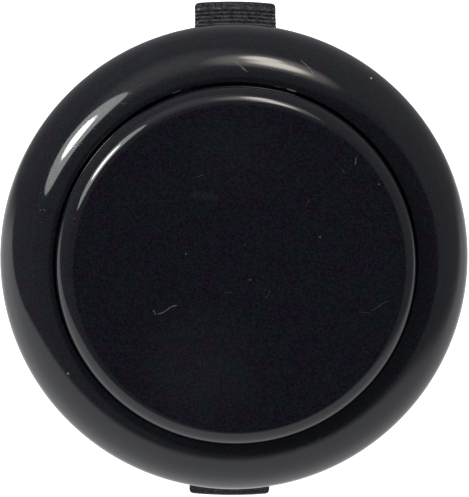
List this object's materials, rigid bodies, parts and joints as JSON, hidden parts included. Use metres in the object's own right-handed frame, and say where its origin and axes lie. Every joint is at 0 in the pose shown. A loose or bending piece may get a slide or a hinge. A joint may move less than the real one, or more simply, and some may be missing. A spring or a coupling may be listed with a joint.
{
  "type": "industrial push button",
  "caption": "Round snap-in panel push button: domed bezel and barrel with sprung tabs, flat sprung plunger, and a lever microswitch with spade terminals",
  "frame": {"origin": "on the button's axis, in the plane of the bezel's underside, which is the panel's face", "axes": "+Z along the axis towards the finger, +Y towards the upper snap tab, +X completes a right-handed frame"},
  "size_m": [0.0334, 0.036, 0.0353],
  "materials": {
    "gloss_black_plastic": "moulded, high gloss, light handling scratches",
    "matt_black_plastic": "moulded, satin, fine texture",
    "switch_plastic": "moulded, satin",
    "actuator_plastic": "moulded, satin",
    "spring_steel": "drawn or rolled, plain",
    "tinned_brass": "stamped, tin-plated",
    "copper_alloy": "rolled strip",
    "contact_silver": "silver rivet"
  },
  "bodies": {
    "housing": {"body_shell": "gloss_black_plastic", "switch_holder": "matt_black_plastic", "switch_case": "switch_plastic", "switch_cover": "switch_plastic", "switch_pin_left": "spring_steel", "switch_pin_right": "spring_steel", "lever_pin": "spring_steel", "common_terminal": "tinned_brass", "open_terminal": "tinned_brass", "closed_terminal": "tinned_brass", "open_contact": "contact_silver", "closed_contact": "contact_silver", "return_spring": "spring_steel"},
    "button": {"plunger": "gloss_black_plastic"},
    "lever": {"switch_lever": "spring_steel"},
    "actuator": {"switch_actuator": "actuator_plastic"},
    "blade": {"contact_blade": "copper_alloy", "moving_contact": "contact_silver", "snap_spring": "copper_alloy"},
    "upper_tab": {"snap_tab_upper": "matt_black_plastic"},
    "lower_tab": {"snap_tab_lower": "matt_black_plastic"}
  },
  "joints": [
    {"name": "plunger_slide", "type": "slide", "parent": "housing", "child": "button", "axis": [0, 0, -1], "range_m": [0, 0.0022], "stiffness_N_per_m": 120, "springref_m": -0.005, "deforming": ["return_spring"]},
    {"name": "lever_turn", "type": "hinge", "parent": "housing", "child": "lever", "pos_m": [-0.0086, 0, -0.0083], "axis": [0, 1, 0], "range_deg": [0, 10.5]},
    {"name": "actuator_slide", "type": "slide", "parent": "housing", "child": "actuator", "axis": [0, 0, -1], "range_m": [0, 0.00034]},
    {"name": "blade_turn", "type": "hinge", "parent": "housing", "child": "blade", "pos_m": [-0.0073, 0, -0.01315], "axis": [0, 1, 0], "range_deg": [0, 2.2]},
    {"name": "upper_tab_squeeze", "type": "hinge", "parent": "housing", "child": "upper_tab", "pos_m": [0, 0.014, -0.0188], "axis": [1, 0, 0], "range_deg": [0, 12.5], "stiffness_Nm_per_rad": 0.8},
    {"name": "lower_tab_squeeze", "type": "hinge", "parent": "housing", "child": "lower_tab", "pos_m": [0, -0.014, -0.0188], "axis": [-1, 0, 0], "range_deg": [0, 12.5], "stiffness_Nm_per_rad": 0.8}
  ],
  "couplings": [
    {"joint": "lever_turn", "follows": "plunger_slide", "rad_per_m": 82.6},
    {"joint": "actuator_slide", "follows": "plunger_slide", "ratio": 0.15},
    {"joint": "blade_turn", "follows": "plunger_slide", "rad_per_m": 17}
  ]
}
